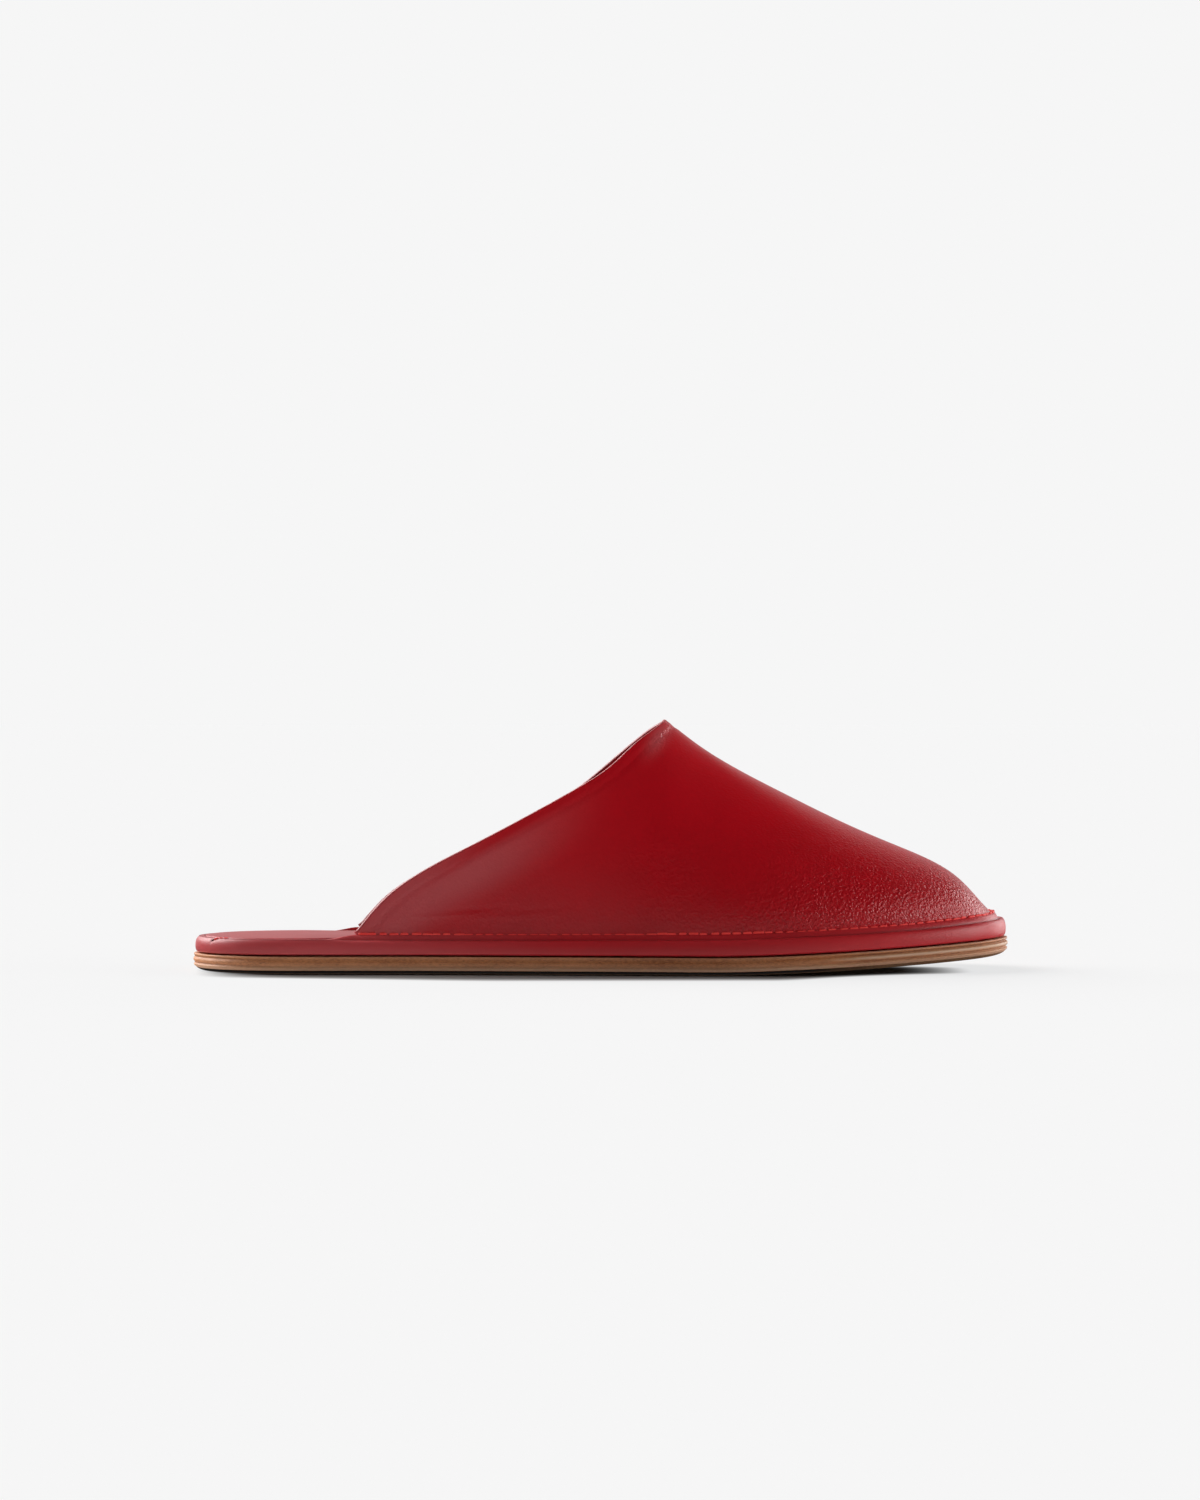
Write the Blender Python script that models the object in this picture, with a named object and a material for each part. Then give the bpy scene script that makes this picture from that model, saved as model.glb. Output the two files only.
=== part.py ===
# A backless leather slipper for the right foot, in metres, +Z up, toe towards +X.
# Four pieces stand on one another as the maker stacks them: a leather outsole, a platform wrapped
# in red leather with a raised rim, a sock laid in the platform, and one hollow upper that stands
# inside the rim. The upper is open at the heel, at the throat and underneath.

import math

import bmesh
import bpy
import numpy as np

# Lengths and widths of the sole, over its outer edge
SOLE_LENGTH = 0.261
BALL_WIDTH = 0.090
WAIST_WIDTH = 0.069
HEEL_WIDTH = 0.063
TOE_SHIFT = 0.004

# How the sole lies on the floor
TOE_SPRING = 0.0047
SPRING_LENGTH = 0.095
SPRING_CURVE = 1.4
EDGE_RISE = 0.0017
EDGE_ROUND = 0.012

# Thicknesses of the stacked layers
OUTSOLE_THICKNESS = 0.0057
PLATFORM_THICKNESS = 0.0036
RIM_HEIGHT = 0.0028
SOCK_THICKNESS = 0.0014
SOCK_CROWN = 0.0004

# Steps at the edge of the sole
WRAP_SETBACK = 0.0007
EDGE_GROOVE = 0.00035
ROLL_WIDTH = 0.0022
ROLL_DROP = 0.0018
LEDGE_WIDTH = 0.0018
HEEL_RIM_WIDTH = 0.0030
SEAM_TURN = 0.010

# The upper
UPPER_WALL = 0.0017
VAMP_RISE = 0.0676
PEAK_DISTANCE = 0.1503
BACK_DISTANCE = 0.0525
SIDE_BULGE = 0.0045
RIDGE_SHIFT = 0.0035

# Space that two pieces keep between them
GAP = 0.0003

# Counts of points along the outlines and sections
OUTLINE_STEPS = 46
OPEN_STATIONS = 22
CLOSED_STATIONS = 27
ARCH_STEPS = 12

# The outline of the sole, a row for each width that is measured across it. Columns: share of the
# length from the heel, the width that the row follows, share of it on the outer side of the foot,
# share of it on the inner side.
PLAN_ROWS = (
    (0.030, HEEL_WIDTH, 0.335, 0.335),
    (0.120, HEEL_WIDTH, 0.500, 0.500),
    (0.220, HEEL_WIDTH, 0.510, 0.495),
    (0.400, WAIST_WIDTH, 0.530, 0.450),
    (0.550, BALL_WIDTH, 0.462, 0.385),
    (0.660, BALL_WIDTH, 0.498, 0.452),
    (0.740, BALL_WIDTH, 0.488, 0.488),
    (0.830, BALL_WIDTH, 0.431, 0.480),
    (0.910, BALL_WIDTH, 0.330, 0.400),
    (0.965, BALL_WIDTH, 0.212, 0.278),
)

# The underside of the outsole near its edge. Columns: share of EDGE_ROUND in from the edge, share
# of EDGE_RISE off the floor.
UNDERSIDE_ROWS = (
    (1.00, 0.00),
    (0.62, 0.14),
    (0.32, 0.45),
)

# The edge of the outsole, a bevel below and a bead between two grooves. Columns: inset as a share
# of EDGE_GROOVE, share of the way up the edge.
OUTSOLE_EDGE_ROWS = (
    (3.4, 0.00),
    (0.8, 0.14),
    (1.2, 0.27),
    (0.2, 0.42),
    (0.0, 0.55),
    (0.3, 0.68),
    (1.2, 0.80),
    (0.5, 0.93),
    (1.2, 1.00),
)

# The rolled side of the wrap, from the outsole up to its crest. Columns: inset as a share of
# ROLL_WIDTH, share of the way up.
ROLL_ROWS = (
    (0.55, 0.00),
    (0.14, 0.10),
    (0.00, 0.38),
    (0.05, 0.65),
    (0.25, 0.87),
    (0.60, 1.00),
)

# The ridge of the upper. Columns: share of the way back from the toe of the upper to the peak,
# share of the rise from the rim to the peak. Past the peak it is the instep of the last, which the
# topline cuts.
RIDGE_ROWS = (
    (0.000, 0.000),
    (0.042, 0.083),
    (0.109, 0.199),
    (0.203, 0.297),
    (0.342, 0.401),
    (0.481, 0.509),
    (0.650, 0.651),
    (0.824, 0.804),
    (0.913, 0.896),
    (1.000, 1.000),
    (1.200, 1.180),
    (1.950, 1.520),
)

# The topline. Columns: share of the way from the back end of the upper to the peak, share of the
# rise from the rim to the peak on the outer side of the foot, the same on the inner side.
TOPLINE_ROWS = (
    (0.000, 0.015, 0.015),
    (0.072, 0.141, 0.132),
    (0.164, 0.252, 0.232),
    (0.349, 0.402, 0.372),
    (0.621, 0.612, 0.580),
    (0.735, 0.706, 0.694),
    (0.823, 0.794, 0.804),
    (0.910, 0.906, 0.916),
    (0.960, 0.957, 0.972),
    (1.000, 1.000, 1.000),
)

# The roundness of the upper's cross sections. Columns: share of the way back from the toe of the
# upper to the peak, pull of the flank as a share of the section's height, pull of the crown as a
# share of the section's half width, outward lean of the flank as a share of SIDE_BULGE.
ROUND_ROWS = (
    (0.00, 0.52, 0.62, 0.10),
    (0.15, 0.48, 0.62, 0.35),
    (0.40, 0.40, 0.52, 0.80),
    (0.70, 0.38, 0.44, 0.90),
    (1.00, 0.40, 0.36, 0.80),
    (1.40, 0.42, 0.40, 0.70),
    (1.95, 0.45, 0.45, 0.25),
)


def curve_through(across, values):
    """A natural cubic spline through the points, straight past both ends."""
    x = np.array(across, float)
    y = np.array(values, float)
    steps = np.diff(x)
    slopes = np.diff(y) / steps
    count = len(x)
    system = np.eye(count)
    bends = np.zeros(count)
    for i in range(1, count - 1):
        system[i, i - 1 : i + 2] = steps[i - 1], 2 * (steps[i - 1] + steps[i]), steps[i]
        bends[i] = 6 * (slopes[i] - slopes[i - 1])
    bends = np.linalg.solve(system, bends)

    def at(where):
        where = np.asarray(where, float)
        inside = np.clip(where, x[0], x[-1])
        i = np.clip(np.searchsorted(x, inside) - 1, 0, count - 2)
        step = steps[i]
        after = (inside - x[i]) / step
        before = 1 - after
        curve = before * y[i] + after * y[i + 1]
        curve += (before**3 - before) * bends[i] * step**2 / 6
        curve += (after**3 - after) * bends[i + 1] * step**2 / 6
        first = slopes[0] - steps[0] * bends[1] / 6
        last = slopes[-1] + steps[-1] * bends[-2] / 6
        return curve + (where - inside) * np.where(where < x[0], first, last)

    return at


def blend(x, start, end):
    """0 before start, 1 after end, and a soft step between them."""
    t = min(max((x - start) / (end - start), 0.0), 1.0)
    return t * t * (3 - 2 * t)


# The outline is drawn over an angle, 0 at the heel and pi at the toe, so that both ends are round
def angle_of(share):
    return math.acos(1 - 2 * share)


def side_curve(column, sign):
    angles = [0.0] + [angle_of(row[0]) for row in PLAN_ROWS] + [math.pi]
    tip = sign * TOE_SHIFT
    widths = [0.0] + [row[1] * row[column] for row in PLAN_ROWS] + [tip]
    return curve_through(angles, widths)


OUTER_SIDE = side_curve(2, -1)
INNER_SIDE = side_curve(3, 1)
ALL_ANGLES = np.linspace(0, math.pi, 721)
PLAN_MIDDLE = (INNER_SIDE(ALL_ANGLES).max() - OUTER_SIDE(ALL_ANGLES).max()) / 2


def outline(angle, sign):
    """A point on the edge of the sole, sign -1 on the outer side of the foot and 1 on the inner."""
    width = INNER_SIDE(angle) if sign > 0 else OUTER_SIDE(angle)
    return np.array([-math.cos(angle) * SOLE_LENGTH / 2, sign * width - PLAN_MIDDLE])


def inset_point(angle, sign, inset):
    """A point of the outline moved in at right angles to it."""
    if 0 < angle < math.pi:
        step = 0.004
        low, high = max(angle - step, 0), min(angle + step, math.pi)
        along = outline(high, sign) - outline(low, sign)
        across = np.array([-along[1], along[0]]) * -sign
        across /= np.linalg.norm(across)
    else:
        across = np.array([1.0 if angle == 0 else -1.0, 0.0])
    return outline(angle, sign) + across * inset


def lift(x):
    """How far the toe spring carries the sole off the floor."""
    along = (x + SPRING_LENGTH - SOLE_LENGTH / 2) / SPRING_LENGTH
    return TOE_SPRING * max(along, 0) ** SPRING_CURVE


HEEL_END = -SOLE_LENGTH / 2
UPPER_BACK = HEEL_END + BACK_DISTANCE
PEAK_X = HEEL_END + PEAK_DISTANCE
RIM_INSET = WRAP_SETBACK + ROLL_WIDTH + LEDGE_WIDTH
UPPER_INSET = RIM_INSET + GAP
TRAY_HEIGHT = OUTSOLE_THICKNESS + GAP + PLATFORM_THICKNESS
RIM_TOP = TRAY_HEIGHT + RIM_HEIGHT
UPPER_TOE = SOLE_LENGTH / 2 - UPPER_INSET
VAMP_LENGTH = UPPER_TOE - PEAK_X


def material(name, colour, roughness):
    made = bpy.data.materials.new(name)
    made.use_nodes = True
    shader = made.node_tree.nodes["Principled BSDF"]
    shader.inputs["Base Color"].default_value = (*colour, 1)
    shader.inputs["Roughness"].default_value = roughness
    shader.inputs["Metallic"].default_value = 0.0
    made.diffuse_color = (*colour, 1)
    return made


def add_piece(name, points, faces, look, parent):
    mesh = bpy.data.meshes.new(name)
    mesh.from_pydata([tuple(point) for point in points], [], faces)
    shell = bmesh.new()
    shell.from_mesh(mesh)
    bmesh.ops.recalc_face_normals(shell, faces=shell.faces)
    shell.to_mesh(mesh)
    shell.free()
    mesh.shade_smooth()
    mesh.set_sharp_from_angle(angle=math.radians(40))
    mesh.materials.append(look)
    piece = bpy.data.objects.new(name, mesh)
    piece.parent = parent
    bpy.context.scene.collection.objects.link(piece)
    return piece


def stacked_rings(section):
    """Points and faces of a solid that follows the outline. section(x) lists (inset, height)
    pairs from the middle of its underside, round its edge, to the middle of its top."""
    count = 2 * OUTLINE_STEPS
    levels = len(section(0.0))
    points = []
    for level in range(levels):
        for k in range(count):
            sign = -1 if k <= OUTLINE_STEPS else 1
            step = k if sign < 0 else count - k
            angle = math.pi * step / OUTLINE_STEPS
            x = outline(angle, sign)[0]
            inset, height = section(x)[level]
            place = inset_point(angle, sign, inset)
            points.append((place[0], place[1], height + lift(place[0])))
    faces = []
    for level in range(levels - 1):
        for k in range(count):
            a = level * count + k
            b = level * count + (k + 1) % count
            faces.append((a, b, b + count, a + count))
    for first in (0, (levels - 1) * count):
        faces.append((first, first + 1, first + count - 1))
        for k in range(1, OUTLINE_STEPS - 1):
            faces.append((first + k, first + k + 1, first + count - k - 1, first + count - k))
        toe = first + OUTLINE_STEPS
        faces.append((toe - 1, toe, toe + 1))
    return points, faces


def outsole_section(x):
    """A flat middle, an underside that rounds up to the edge, and the trimmed edge."""
    edge = OUTSOLE_THICKNESS - EDGE_RISE
    section = [(EDGE_ROUND * inset, EDGE_RISE * rise) for inset, rise in UNDERSIDE_ROWS]
    section += [(EDGE_GROOVE * inset, EDGE_RISE + edge * up) for inset, up in OUTSOLE_EDGE_ROWS]
    return section + [(EDGE_ROUND, OUTSOLE_THICKNESS)]


def rim_inset(x):
    """How far in the rim's inner wall stands: less at the bare heel than beside the upper."""
    heel = WRAP_SETBACK + HEEL_RIM_WIDTH
    return heel + (RIM_INSET - heel) * blend(x, UPPER_BACK - SEAM_TURN, UPPER_BACK)


def platform_section(x):
    """The rolled side of the wrap, the groove at the seam, and the rim round a flat tray."""
    front = blend(x, UPPER_BACK - SEAM_TURN, UPPER_BACK)
    floor = OUTSOLE_THICKNESS + GAP
    heel_crest = TRAY_HEIGHT + SOCK_THICKNESS
    crest = heel_crest + (RIM_TOP - ROLL_DROP - heel_crest) * front
    rim = crest + ROLL_DROP * front
    groove = crest - EDGE_GROOVE * (0.2 + 1.6 * front)
    wall = rim_inset(x)
    seam = wall - LEDGE_WIDTH
    section = [(EDGE_ROUND, floor)]
    for inset, up in ROLL_ROWS:
        section.append((WRAP_SETBACK + ROLL_WIDTH * inset, floor + (crest - floor) * up))
    section.append((seam - EDGE_GROOVE / 2, groove))
    section.append((seam + LEDGE_WIDTH / 3, (groove + rim) / 2))
    section.append((wall - EDGE_GROOVE, rim))
    section.append((wall, rim - EDGE_GROOVE))
    section.append((wall, TRAY_HEIGHT))
    section.append((EDGE_ROUND, TRAY_HEIGHT))
    return section


def sock_section(x):
    """A thin pad, a gap inside the rim at the heel and inside the upper's wall in front."""
    heel = WRAP_SETBACK + HEEL_RIM_WIDTH + GAP
    front = UPPER_INSET + UPPER_WALL + GAP
    edge = heel + (front - heel) * blend(x, UPPER_BACK - SEAM_TURN * 2, UPPER_BACK - SEAM_TURN / 2)
    floor = TRAY_HEIGHT + GAP
    top = floor + SOCK_THICKNESS
    return [
        (edge + EDGE_ROUND, floor),
        (edge, floor),
        (edge, top - SOCK_THICKNESS / 3),
        (edge + SOCK_THICKNESS / 3, top),
        (edge + EDGE_ROUND / 2, top + SOCK_CROWN * 0.7),
        (edge + EDGE_ROUND, top + SOCK_CROWN),
    ]


# Where the foot of the upper stands, on both sides
FLANKS = {
    sign: np.array([inset_point(angle, sign, UPPER_INSET) for angle in ALL_ANGLES])
    for sign in (-1, 1)
}
RIDGE = curve_through([math.sqrt(row[0]) for row in RIDGE_ROWS], [row[1] for row in RIDGE_ROWS])
TOPLINE = {
    -1: curve_through([row[0] for row in TOPLINE_ROWS], [row[1] for row in TOPLINE_ROWS]),
    1: curve_through([row[0] for row in TOPLINE_ROWS], [row[2] for row in TOPLINE_ROWS]),
}
FLANK_PULL = curve_through([row[0] for row in ROUND_ROWS], [row[1] for row in ROUND_ROWS])
CROWN_PULL = curve_through([row[0] for row in ROUND_ROWS], [row[2] for row in ROUND_ROWS])
FLANK_LEAN = curve_through([row[0] for row in ROUND_ROWS], [row[3] for row in ROUND_ROWS])


def flank_y(x, sign):
    return float(np.interp(x, FLANKS[sign][:, 0], FLANKS[sign][:, 1]))


def back_share(x):
    """Share of the way from the toe of the upper back to the peak, over 1 behind the peak."""
    return max(UPPER_TOE - x, 0.0) / VAMP_LENGTH


def arch(x, sign, v):
    """A point of the last's cross section at x: v is 0 at the rim and 1 on the ridge."""
    share = back_share(x)
    base_y = flank_y(x, sign)
    middle = (flank_y(x, -1) + flank_y(x, 1)) / 2
    ridge_y = middle + RIDGE_SHIFT * math.sin(math.pi * min(share, 1.0))
    base_z = RIM_TOP + lift(x)
    rise = VAMP_RISE * float(RIDGE(math.sqrt(share)))
    half = base_y - ridge_y
    lean = SIDE_BULGE * float(FLANK_LEAN(share)) * min(abs(half) / (HEEL_WIDTH / 2), 1)
    corners = (
        (base_y, base_z),
        (base_y + sign * lean, base_z + rise * float(FLANK_PULL(share))),
        (ridge_y + half * float(CROWN_PULL(share)), base_z + rise),
        (ridge_y, base_z + rise),
    )
    weights = ((1 - v) ** 3, 3 * v * (1 - v) ** 2, 3 * v**2 * (1 - v), v**3)
    y = sum(w * corner[0] for w, corner in zip(weights, corners))
    z = sum(w * corner[1] for w, corner in zip(weights, corners))
    return np.array([x, y, z])


def top_of_wall(x, sign):
    """How far up its arch the leather goes at x: 1 in front of the peak, less at the topline."""
    if x >= PEAK_X:
        return 1.0
    share = (x - UPPER_BACK) / (PEAK_X - UPPER_BACK)
    goal = RIM_TOP + lift(x) + VAMP_RISE * float(TOPLINE[sign](share))
    low, high = 0.0, 1.0
    for _ in range(40):
        v = (low + high) / 2
        if arch(x, sign, v)[2] < goal:
            low = v
        else:
            high = v
    return low


def station_places():
    """Sections along the upper, closer together where it turns: behind the peak and at the toe."""
    places = []
    for i in range(OPEN_STATIONS):
        share = 1 - (1 - i / OPEN_STATIONS) ** 1.7
        places.append(UPPER_BACK + (PEAK_X - UPPER_BACK) * share)
    for i in range(CLOSED_STATIONS):
        share = math.sin(math.pi / 2 * i / CLOSED_STATIONS) ** 1.15
        places.append(PEAK_X + VAMP_LENGTH * share)
    places.append(UPPER_TOE - GAP * 0.2)
    return places


def upper_skin(places):
    """The outside of the upper: for each section and side, points from the foot to the top."""
    skin = {-1: [], 1: []}
    for x in places:
        for sign in (-1, 1):
            foot = arch(x, sign, 0.0)
            foot[2] = TRAY_HEIGHT + GAP + lift(x)
            top = top_of_wall(x, sign)
            column = [arch(x, sign, top * j / ARCH_STEPS) for j in range(ARCH_STEPS + 1)]
            skin[sign].append([foot] + column)
    return {sign: np.array(columns) for sign, columns in skin.items()}


def wall_normals(skin, closed_from):
    """Unit normals of the skin, outwards, with both sides agreeing along the ridge."""
    normals = {}
    for sign in (-1, 1):
        along = np.gradient(skin[sign], axis=0)
        up = np.gradient(skin[sign], axis=1)
        mirrored = skin[-sign][closed_from:, -2]
        up[closed_from:, -1] = (mirrored - skin[sign][closed_from:, -2]) / 2
        normal = np.cross(along, up) * -sign
        normals[sign] = normal / np.linalg.norm(normal, axis=2, keepdims=True)
    return normals


def upper_shell():
    places = station_places()
    skin = upper_skin(places)
    normals = wall_normals(skin, OPEN_STATIONS)
    lining = {}
    for sign in (-1, 1):
        lining[sign] = skin[sign] - normals[sign] * UPPER_WALL
        lining[sign][:, 0, 2] = skin[sign][:, 0, 2]
    rows = ARCH_STEPS + 2
    top = rows - 1
    last = len(places) - 1
    points = []
    index = {}
    for face, layer in (("out", skin), ("in", lining)):
        for sign in (-1, 1):
            for i in range(len(places)):
                for j in range(rows):
                    if sign > 0 and j == top and i >= OPEN_STATIONS:
                        index[face, sign, i, j] = index[face, -1, i, j]
                        continue
                    index[face, sign, i, j] = len(points)
                    points.append(layer[sign][i][j])
    faces = []
    for sign in (-1, 1):
        for i in range(last):
            for j in range(top):
                for face in ("out", "in"):
                    at = [(i, j), (i + 1, j), (i + 1, j + 1), (i, j + 1)]
                    faces.append(tuple(index[face, sign, a, b] for a, b in at))
            rims = [0, top] if i < OPEN_STATIONS else [0]
            for j in rims:
                edge = [("out", i), ("out", i + 1), ("in", i + 1), ("in", i)]
                faces.append(tuple(index[face, sign, a, j] for face, a in edge))
        for j in range(top):
            edge = [("out", j), ("out", j + 1), ("in", j + 1), ("in", j)]
            faces.append(tuple(index[face, sign, 0, b] for face, b in edge))
    for j in range(top):
        for face in ("out", "in"):
            across = [(-1, j), (1, j), (1, j + 1), (-1, j + 1)]
            corners = [index[face, sign, last, b] for sign, b in across]
            faces.append(tuple(dict.fromkeys(corners)))
    toe = [("out", -1), ("out", 1), ("in", 1), ("in", -1)]
    faces.append(tuple(index[face, sign, last, 0] for face, sign in toe))
    return points, faces


def main():
    for thing in list(bpy.data.objects):
        bpy.data.objects.remove(thing, do_unlink=True)
    slipper = bpy.data.objects.new("babouche_slipper", None)
    bpy.context.scene.collection.objects.link(slipper)

    red_upper = material("upper_leather", (0.235, 0.008, 0.013), 0.45)
    red_wrap = material("wrap_leather", (0.225, 0.010, 0.014), 0.45)
    red_sock = material("sock_leather", (0.240, 0.014, 0.018), 0.50)
    sole_hide = material("sole_leather", (0.190, 0.085, 0.045), 0.50)

    add_piece("outsole", *stacked_rings(outsole_section), sole_hide, slipper)
    add_piece("platform", *stacked_rings(platform_section), red_wrap, slipper)
    add_piece("sock", *stacked_rings(sock_section), red_sock, slipper)
    add_piece("upper", *upper_shell(), red_upper, slipper)


main()
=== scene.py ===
import math

import bmesh
import bpy
import numpy as np
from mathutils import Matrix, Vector


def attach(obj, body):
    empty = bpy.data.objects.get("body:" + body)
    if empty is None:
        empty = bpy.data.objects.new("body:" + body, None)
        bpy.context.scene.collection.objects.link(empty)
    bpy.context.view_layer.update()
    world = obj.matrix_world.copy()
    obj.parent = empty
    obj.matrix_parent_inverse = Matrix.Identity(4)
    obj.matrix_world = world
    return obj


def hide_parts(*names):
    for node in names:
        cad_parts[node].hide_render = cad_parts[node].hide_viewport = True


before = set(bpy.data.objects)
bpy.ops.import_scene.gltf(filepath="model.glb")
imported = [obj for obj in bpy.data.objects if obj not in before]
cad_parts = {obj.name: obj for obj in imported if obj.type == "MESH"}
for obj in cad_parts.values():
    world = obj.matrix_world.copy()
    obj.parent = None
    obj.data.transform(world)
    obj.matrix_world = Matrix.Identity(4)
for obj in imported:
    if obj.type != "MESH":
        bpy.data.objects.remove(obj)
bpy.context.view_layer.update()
scene = bpy.context.scene
print("frame loaded:", ", ".join(sorted(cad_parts)))


cameraSetup = {
    "place": (-0.0421, -1.4596, 0.0800),  # as far off and as high as in the photograph
    "turn": 1.626,  # degrees to the right of straight across the shoe
    "dip": 0.39,  # degrees below level
    "lens": 109.6,
}

cameraData = bpy.data.cameras.new("camera")
cameraData.lens = cameraSetup["lens"]
cameraData.clip_start = 0.05
cameraData.clip_end = 200
camera = bpy.data.objects.new("camera", cameraData)
camera.location = cameraSetup["place"]
camera.rotation_euler = (
    math.radians(90 - cameraSetup["dip"]),
    0,
    math.radians(-cameraSetup["turn"]),
)
scene.collection.objects.link(camera)
scene.camera = camera
scene.view_settings.view_transform = "Standard"
scene.view_settings.look = "None"


# Sizes in metres, toe towards +X, outer side of the right foot towards -Y
last = {
    "length": 0.261,
    "ball": 0.090,
    "waist": 0.069,
    "heel": 0.063,
    "toeShift": 0.004,
    "toeSpring": 0.0047,
    "springLength": 0.095,
    "springCurve": 1.4,
    "edgeRise": 0.0017,
    "edgeRound": 0.012,
    "outsole": 0.0057,
    "platform": 0.0036,
    "rim": 0.0028,
    "sock": 0.0014,
    "sockCrown": 0.0004,
    "wrapSetback": 0.0007,
    "rollWidth": 0.0022,
    "rollDrop": 0.0018,
    "ledge": 0.0018,
    "heelRim": 0.0030,
    "seamTurn": 0.010,
    "wall": 0.0017,
    "vampRise": 0.0676,
    "peak": 0.1503,  # distance from the heel end
    "back": 0.0525,  # distance from the heel end to the back of the upper
    "bulge": 0.0045,
    "ridgeShift": 0.0035,
    "gap": 0.0003,
    "backStep": 0.0001,  # least height of the upper over the rim at its back end
}

# Share of the length from the heel, width followed, outer share, inner share
planRows = (
    (0.030, "heel", 0.335, 0.335),
    (0.120, "heel", 0.500, 0.500),
    (0.220, "heel", 0.510, 0.495),
    (0.400, "waist", 0.530, 0.450),
    (0.550, "ball", 0.462, 0.385),
    (0.660, "ball", 0.498, 0.452),
    (0.740, "ball", 0.488, 0.488),
    (0.830, "ball", 0.431, 0.480),
    (0.910, "ball", 0.330, 0.400),
    (0.965, "ball", 0.212, 0.278),
)
# Share back from the toe of the upper to the peak, share of the rise
ridgeRows = (
    (0.000, 0.000), (0.042, 0.083), (0.109, 0.199), (0.203, 0.297), (0.342, 0.401), (0.481, 0.509),
    (0.650, 0.651), (0.824, 0.804), (0.913, 0.896), (1.000, 1.000), (1.200, 1.180), (1.950, 1.520),
)
# Share from the back of the upper to the peak, outer and inner share of the rise
toplineRows = (
    (0.000, 0.015, 0.015), (0.072, 0.141, 0.132), (0.164, 0.252, 0.232), (0.349, 0.402, 0.372),
    (0.621, 0.612, 0.580), (0.735, 0.706, 0.690), (0.823, 0.794, 0.797), (0.910, 0.906, 0.906),
    (0.960, 0.957, 0.963), (1.000, 1.000, 1.000),
)
# Share back from the toe, flank pull, crown pull, flank lean
roundRows = (
    (0.00, 0.52, 0.62, 0.10), (0.15, 0.48, 0.62, 0.35), (0.40, 0.40, 0.52, 0.80),
    (0.70, 0.38, 0.44, 0.90), (1.00, 0.40, 0.36, 0.80), (1.40, 0.42, 0.40, 0.70),
    (1.95, 0.45, 0.45, 0.25),
)


def splineThrough(across, values):
    # natural cubic spline, straight past both ends
    x = np.array(across, float)
    y = np.array(values, float)
    steps = np.diff(x)
    slopes = np.diff(y) / steps
    count = len(x)
    system = np.eye(count)
    bends = np.zeros(count)
    for i in range(1, count - 1):
        system[i, i - 1 : i + 2] = steps[i - 1], 2 * (steps[i - 1] + steps[i]), steps[i]
        bends[i] = 6 * (slopes[i] - slopes[i - 1])
    bends = np.linalg.solve(system, bends)

    def at(where):
        where = np.asarray(where, float)
        inside = np.clip(where, x[0], x[-1])
        i = np.clip(np.searchsorted(x, inside) - 1, 0, count - 2)
        step = steps[i]
        after = (inside - x[i]) / step
        before = 1 - after
        curve = before * y[i] + after * y[i + 1]
        curve += (before**3 - before) * bends[i] * step**2 / 6
        curve += (after**3 - after) * bends[i + 1] * step**2 / 6
        first = slopes[0] - steps[0] * bends[1] / 6
        end = slopes[-1] + steps[-1] * bends[-2] / 6
        return curve + (where - inside) * np.where(where < x[0], first, end)

    return at


def alongRows(x, rows):
    return np.interp(x, [row[0] for row in rows], [row[1] for row in rows])


def softStep(x, start, end):
    t = np.clip((np.asarray(x, float) - start) / (end - start), 0, 1)
    return t * t * (3 - 2 * t)


def bell(*offsets):
    # 1 where every offset is 0, fading out over about 1
    return np.exp(-sum(offset**2 for offset in offsets))


def sideCurve(column, sign):
    angles = [0.0] + [math.acos(1 - 2 * row[0]) for row in planRows] + [math.pi]
    widths = [0.0] + [last[row[1]] * row[column] for row in planRows] + [sign * last["toeShift"]]
    return splineThrough(angles, widths)


outerSide = sideCurve(2, -1)
innerSide = sideCurve(3, 1)
allAngles = np.linspace(0, math.pi, 721)
planMiddle = (innerSide(allAngles).max() - outerSide(allAngles).max()) / 2
heelEnd = -last["length"] / 2
upperBack = heelEnd + last["back"]
peakX = heelEnd + last["peak"]
rimInset = last["wrapSetback"] + last["rollWidth"] + last["ledge"]
upperInset = rimInset + last["gap"]
trayHeight = last["outsole"] + last["gap"] + last["platform"]
rimTop = trayHeight + last["rim"]
upperToe = last["length"] / 2 - upperInset
vampLength = upperToe - peakX


def soleEdge(turn):
    # the outline at a turn from 0 to 2 pi, from the heel along the outer side, round the toe and back
    turn = np.asarray(turn, float)
    angle = np.where(turn <= math.pi, turn, 2 * math.pi - turn)
    y = np.where(turn <= math.pi, -outerSide(angle), innerSide(angle)) - planMiddle
    return np.stack([-np.cos(angle) * last["length"] / 2, y], axis=-1)


def insetEdge(turn, inset):
    step = 0.004
    along = soleEdge(np.mod(turn + step, 2 * math.pi)) - soleEdge(np.mod(turn - step, 2 * math.pi))
    across = np.stack([-along[..., 1], along[..., 0]], axis=-1)
    across /= np.linalg.norm(across, axis=-1, keepdims=True)
    return soleEdge(turn) + across * np.asarray(inset)[..., None]


def lift(x):
    along = (np.asarray(x) + last["springLength"] - last["length"] / 2) / last["springLength"]
    return last["toeSpring"] * np.maximum(along, 0) ** last["springCurve"]


def tableCurve(rows, column):
    return splineThrough([row[0] for row in rows], [row[column] for row in rows])


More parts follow.
